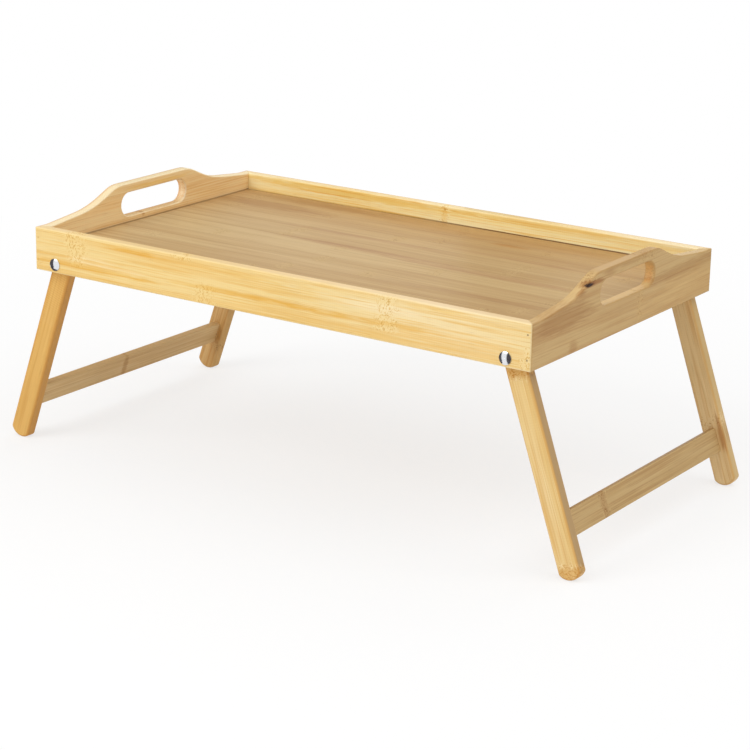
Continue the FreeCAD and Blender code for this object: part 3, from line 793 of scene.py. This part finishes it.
# %% Legs
LEG_TONES = {"body": tone(230, 196, 130), "pale": tone(243, 220, 170),
             "amber": tone(216, 166, 90), "dark": tone(190, 138, 72),
             "side": tone(172, 139, 98), "rim": tone(218, 164, 88)}
FAR_TONES = {"body": tone(229, 197, 143), "pale": tone(234, 206, 156),
             "amber": tone(210, 164, 102), "dark": tone(104, 66, 34),
             "side": tone(209, 178, 123), "rim": tone(214, 166, 98)}
BROWN_TONES = {"body": tone(194, 150, 90), "pale": tone(212, 175, 118),
               "amber": tone(190, 138, 78), "dark": tone(104, 66, 34),
               "side": tone(211, 168, 103)}
ORANGE_TONES = {"body": tone(219, 168, 89), "pale": tone(229, 186, 109),
                "amber": tone(203, 144, 67), "dark": tone(120, 76, 36),
                "side": tone(206, 150, 78), "rim": tone(212, 152, 76)}
ROSE_TINT, COOL_TINT = tone(234, 210, 168), tone(244, 241, 235)
LEG_SEED = 9.2

leg_looks = {
    "right_front": {
        "palette": LEG_TONES, "contrast": 0.65,
        "rings": [(0.0125, 0.0, 0.02, 0.007), (0.1735, 0.0, 0.02, 0.008)],
        "stains": [((0.0130, 0.0, 0.0), (1.0, 0.2, 0.2), 0.0075, ROSE_TINT, 0.9),
                   ((0.1745, 0.0, 0.0), (1.0, 0.2, 0.2), 0.0070, ROSE_TINT, 0.8)]},
    "right_back": {
        "palette": FAR_TONES, "contrast": 0.85, "rings": [(0.123, 0.0, 0.02, 0.005)],
        "spots": [((0.1278, 0.0025, 0.0), (1.0, 1.0, 0.3), 0.0014),
                  ((0.1512, 0.0005, 0.0), (1.0, 1.0, 0.3), 0.0011)],
        "stains": [((0.050, 0.0, 0.0), (0.16, 0.2, 0.2), 0.0120, COOL_TINT, 1.0),
                   ((0.136, 0.0075, 0.0), (0.14, 1.0, 0.1), 0.0032, DEEP_TINT, 0.75),
                   ((0.165, -0.002, 0.0), (0.14, 1.0, 0.1), 0.0020, DEEP_TINT, 0.25)]},
    "left_front": {
        "palette": ORANGE_TONES, "contrast": 0.6, "ripple": 0.05,
        "stains": [((0.060, 0.0, 0.0), (1.0, 0.2, 0.2), 0.0040, PALE_GLEAM, 0.25)]},
    "left_back": {
        "palette": BROWN_TONES, "rings": [(0.150, 0.0, 0.02, 0.005)],
        "spots": [((0.0580, -0.0010, 0.0), (1.0, 1.0, 0.3), 0.0013)]},
}


def leg_directions(end):
    """Down an open leg, and out across it."""
    return (Vector((end * sin(LEG_SPLAY), 0.0, -cos(LEG_SPLAY))),
            Vector((cos(LEG_SPLAY), 0.0, end * sin(LEG_SPLAY))))


for place, look in leg_looks.items():
    end_name, side_name = place.split("_")
    end, side = ENDS[end_name], SIDES[side_name]
    down, out = leg_directions(end)
    leg_low, leg_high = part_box(f"{place}_leg")
    origin = (PIVOTS[end_name].x, (leg_low.y + leg_high.y) / 2, PIVOTS[end_name].z)
    dress(f"{place}_leg", board_material(
        f"{place}_leg_bamboo", origin, down, out, seed=LEG_SEED + 2 * end + side, **look))

# %% [markdown]
# ## Stretchers
# A flat stretcher joins the two legs of a frame. Its grain runs from leg to leg, and each one
# shows the mark of a growth ring near its middle: flecks on the right one, a soft brown band
# with a pale edge on the left one.

# %% Stretchers
stretcher_looks = {
    "right": {
        "contrast": 0.8, "rings": [(-0.0715, 0.0, 0.02, 0.007)],
        "stains": [((-0.0715, 0.0, 0.0), (0.9, 0.2, 0.2), 0.0056, DEEP_TINT, 0.35)],
        "palette": {"body": tone(194, 160, 107), "pale": tone(207, 177, 125),
                    "amber": tone(176, 136, 84), "dark": tone(104, 70, 38),
                    "side": tone(180, 146, 96)}},
    "left": {
        "contrast": 0.7,
        "stains": [((-0.0105, 0.0, 0.0), (1.0, 0.25, 0.2), 0.0048, DEEP_TINT, 0.55),
                   ((-0.0165, 0.0, 0.0), (1.0, 0.25, 0.2), 0.0036, PALE_GLEAM, 0.3)],
        "palette": {"body": tone(219, 185, 131), "pale": tone(230, 202, 152),
                    "amber": tone(198, 158, 104), "dark": tone(112, 78, 44),
                    "side": tone(202, 168, 116)}},
}
STRETCHER_SEED = 14.6
for end_name, end in ENDS.items():
    down, _out = leg_directions(end)
    dress(f"{end_name}_stretcher", board_material(
        f"{end_name}_stretcher_bamboo", PIVOTS[end_name] + down * STRETCHER_DROP, (0, 1, 0),
        down, seed=STRETCHER_SEED + end, gloss=0.42, **stretcher_looks[end_name]))

# %% [markdown]
# ## Metal and nylon
# The caps of the pivots are polished and plated. They were turned, so fine circles run round
# the crown. Measured from the nearest pivot with absolute values, one pattern fits all four.
# The screws and washers inside are plain zinc, the spacers nylon, the nails raw steel. The
# nails of the left end are toned like the wood, as if filled.

# %% Hardware
CLOUD_STRETCH, CLOUD_SHADE = (900.0, 900.0, 900.0), (0.3, 0.7, 1.0, 0.94)
LEFT_TO_RIGHT = (-0.05, 0.05)
TURNED_DEPTH = 0.00005


def pivot_radius(graph, place):
    """The distance from the nearest pivot's axis, for patterns that run round it."""
    x, _y, z = graph.split(place)
    sideways = graph.math("SUBTRACT", graph.math("ABSOLUTE", x), PIVOTS["right"].x)
    upwards = graph.math("SUBTRACT", z, PIVOTS["right"].z)
    return graph.length(graph.join(sideways, upwards, 0.0))


def metal_material(name, colour, metallic, rough, spread, circles, relief, left_colour=None):
    """A small turned or moulded part: circles per metre, and a cloudy change of gloss."""
    material = bpy.data.materials.new(name)
    graph = clean_graph(material)
    place = graph.node("ShaderNodeTexCoord").outputs["Object"]
    cloud = graph.noise(place, CLOUD_STRETCH, detail=3.0)
    circle = graph.math("MULTIPLY", pivot_radius(graph, place), circles)
    turned = graph.node("ShaderNodeTexNoise", {"W": circle, "Scale": 1.0, "Detail": 2.0},
                        noise_dimensions="1D").outputs["Fac"]
    shade = graph.fade(cloud, *CLOUD_SHADE)
    to_right = graph.fade(graph.split(place)["X"], *LEFT_TO_RIGHT)
    base = graph.mix(to_right, left_colour or colour, colour)
    shaded = graph.mix(1.0, base, graph.join(shade, shade, shade), mode="MULTIPLY")
    bump = graph.node("ShaderNodeBump", {"Height": turned, "Strength": relief,
                                         "Distance": TURNED_DEPTH}).outputs[0]
    shader = graph.node("ShaderNodeBsdfPrincipled", {
        "Base Color": shaded, "Metallic": metallic, "Normal": bump,
        "Roughness": graph.total(rough, [(cloud, spread)])})
    graph.node("ShaderNodeOutputMaterial", {0: shader.outputs[0]})
    return material


cap_chrome = metal_material("cap_chrome", tone(232, 234, 238), metallic=1.0, rough=0.09,
                            spread=0.08, circles=5000.0, relief=0.06)
zinc = metal_material("zinc_steel", tone(196, 198, 202), metallic=1.0, rough=0.24,
                      spread=0.2, circles=7000.0, relief=0.15)
nylon = metal_material("natural_nylon", tone(226, 222, 210), metallic=0.0, rough=0.45,
                       spread=0.1, circles=3000.0, relief=0.05)
nail_steel = metal_material("nail_steel", tone(186, 156, 112), metallic=0.25, rough=0.4,
                            spread=0.25, circles=2000.0, relief=0.1,
                            left_colour=tone(232, 192, 122))
for place in leg_looks:
    dress(f"{place}_pivot_sleeve", cap_chrome)
    dress(f"{place}_rail_spacer", nylon)
    dress(f"{place}_screw_washer", zinc)
    dress(f"{place}_pivot_screw", zinc)
for side_name in SIDES:
    dress(f"{side_name}_corner_nails", nail_steel)

# %% [markdown]
# ## Floor and surround
# A white sweep: a pale floor that fades into a white surround. The surround looks white to the
# camera and in reflections, and lights the table at a lower, even level. The Light Path node
# tells those rays apart, so the background is white without bleaching the wood.

# %% Floor and surround
FLOOR_SIZE = 12.0
FLOOR_PAINT = tone(250, 250, 250)
FLOOR_GLOW, FLOOR_FADE = 0.7, (0.3, 1.0)
SURROUND_LIGHT = 0.56


def white_for_camera(graph):
    """One where a ray comes from the camera, a reflection or a clear material."""
    path = graph.node("ShaderNodeLightPath").outputs
    seen = graph.math("MAXIMUM", path["Is Camera Ray"], path["Is Glossy Ray"])
    return graph.math("MAXIMUM", seen, path["Is Transmission Ray"])


def make_world():
    world = bpy.data.worlds.new("white_studio")
    graph = clean_graph(world)
    light, white = (
        graph.node("ShaderNodeBackground", {"Color": WHITE, "Strength": strength}).outputs[0]
        for strength in (SURROUND_LIGHT, 1.0))
    mixed = graph.node("ShaderNodeMixShader", {0: white_for_camera(graph), 1: light, 2: white})
    graph.node("ShaderNodeOutputWorld", {0: mixed.outputs[0]})
    return world


def floor_material():
    material = bpy.data.materials.new("pale_floor")
    graph = clean_graph(material)
    distance = graph.length(graph.node("ShaderNodeTexCoord").outputs["Object"])
    paint = graph.node("ShaderNodeBsdfDiffuse", {"Color": FLOOR_PAINT}).outputs[0]
    glow = graph.node("ShaderNodeEmission", {"Color": WHITE, "Strength": 1.0}).outputs[0]
    far = graph.math("MULTIPLY", graph.fade(distance, *FLOOR_FADE, FLOOR_GLOW, 1.0),
                     white_for_camera(graph))
    mixed = graph.node("ShaderNodeMixShader", {0: far, 1: paint, 2: glow})
    graph.node("ShaderNodeOutputMaterial", {0: mixed.outputs[0]})
    return material


bpy.context.scene.world = make_world()
bpy.ops.mesh.primitive_plane_add(size=FLOOR_SIZE, location=(0, 0, 0))
floor = bpy.context.active_object
floor.name = "floor"
floor.data.materials.append(floor_material())
print("floor", FLOOR_SIZE, "m wide, surround light", SURROUND_LIGHT)

# %% [markdown]
# ## Lamps
# Four large soft lamps shape the table at a plain level. The strongest one stands at the left
# front, and the others lift the right end, the back and the panel.

# %% Lamps
LAMPS = {
    "key": {"place": (-1.1, -2.3, 1.9), "size": 1.8, "power": 32.0},
    "right": {"place": (1.6, 0.3, 2.2), "size": 1.6, "power": 14.0},
    "back": {"place": (-0.2, 2.0, 2.2), "size": 1.8, "power": 10.0},
    "front": {"place": (0.2, -1.4, 2.6), "size": 1.8, "power": 10.0},
}
AIM = Vector((0.0, 0.0, 0.15))

for name, lamp in LAMPS.items():
    data = bpy.data.lights.new(f"{name}_lamp", "AREA")
    data.size = lamp["size"]
    data.energy = lamp["power"]
    made = bpy.data.objects.new(f"{name}_lamp", data)
    made.location = lamp["place"]
    made.rotation_euler = (AIM - Vector(lamp["place"])).to_track_quat("-Z", "Y").to_euler()
    made.visible_camera = False
    bpy.context.collection.objects.link(made)
    print(made.name, lamp["power"], "W")

# %% [markdown]
# ## Dark cards
# Chrome in an all-white room looks like paper. Dark cards give the caps their dark rims: three
# stand close to a long side of the table and two lie on the floor there, in front and again
# behind. They are seen in reflections alone, and the satin wood hardly shows them.

# %% Dark cards
CARD_GREY = (0.065, 0.06, 0.075, 1.0)
STANDING, LYING = 90.0, 0.0
CARDS = {
    "middle": {"place": (0.0, 0.235, 0.3), "size": (0.17, 0.6), "lean": STANDING, "turn": 90.0},
    "left": {"place": (-0.46, 0.27, 0.3), "size": (0.23, 0.6), "lean": STANDING, "turn": 90.0},
    "right": {"place": (0.26, 0.28, 0.25), "size": (0.12, 0.5), "lean": STANDING, "turn": 0.0},
    "left_floor": {"place": (-0.37, 0.235, 0.002), "size": (0.27, 0.15), "lean": LYING,
                   "turn": 0.0},
    "right_floor": {"place": (-0.03, 0.21, 0.002), "size": (0.18, 0.12), "lean": LYING,
                    "turn": 0.0},
}

card_paint = bpy.data.materials.new("dark_card")
card_paint.use_nodes = True
paint_sockets = card_paint.node_tree.nodes["Principled BSDF"].inputs
paint_sockets["Base Color"].default_value = CARD_GREY
for side_name, side in SIDES.items():
    for name, card in CARDS.items():
        x, y, z = card["place"]
        bpy.ops.mesh.primitive_plane_add(
            size=1.0, location=(x, side * y, z),
            rotation=(radians(card["lean"]), 0.0, radians(card["turn"])))
        made = bpy.context.active_object
        made.name = f"{side_name}_{name}_card"
        made.scale = (*card["size"], 1.0)
        made.data.materials.append(card_paint)
        made.visible_camera = made.visible_diffuse = made.visible_shadow = False
print("dark cards:", len(SIDES) * len(CARDS))

# %% [markdown]
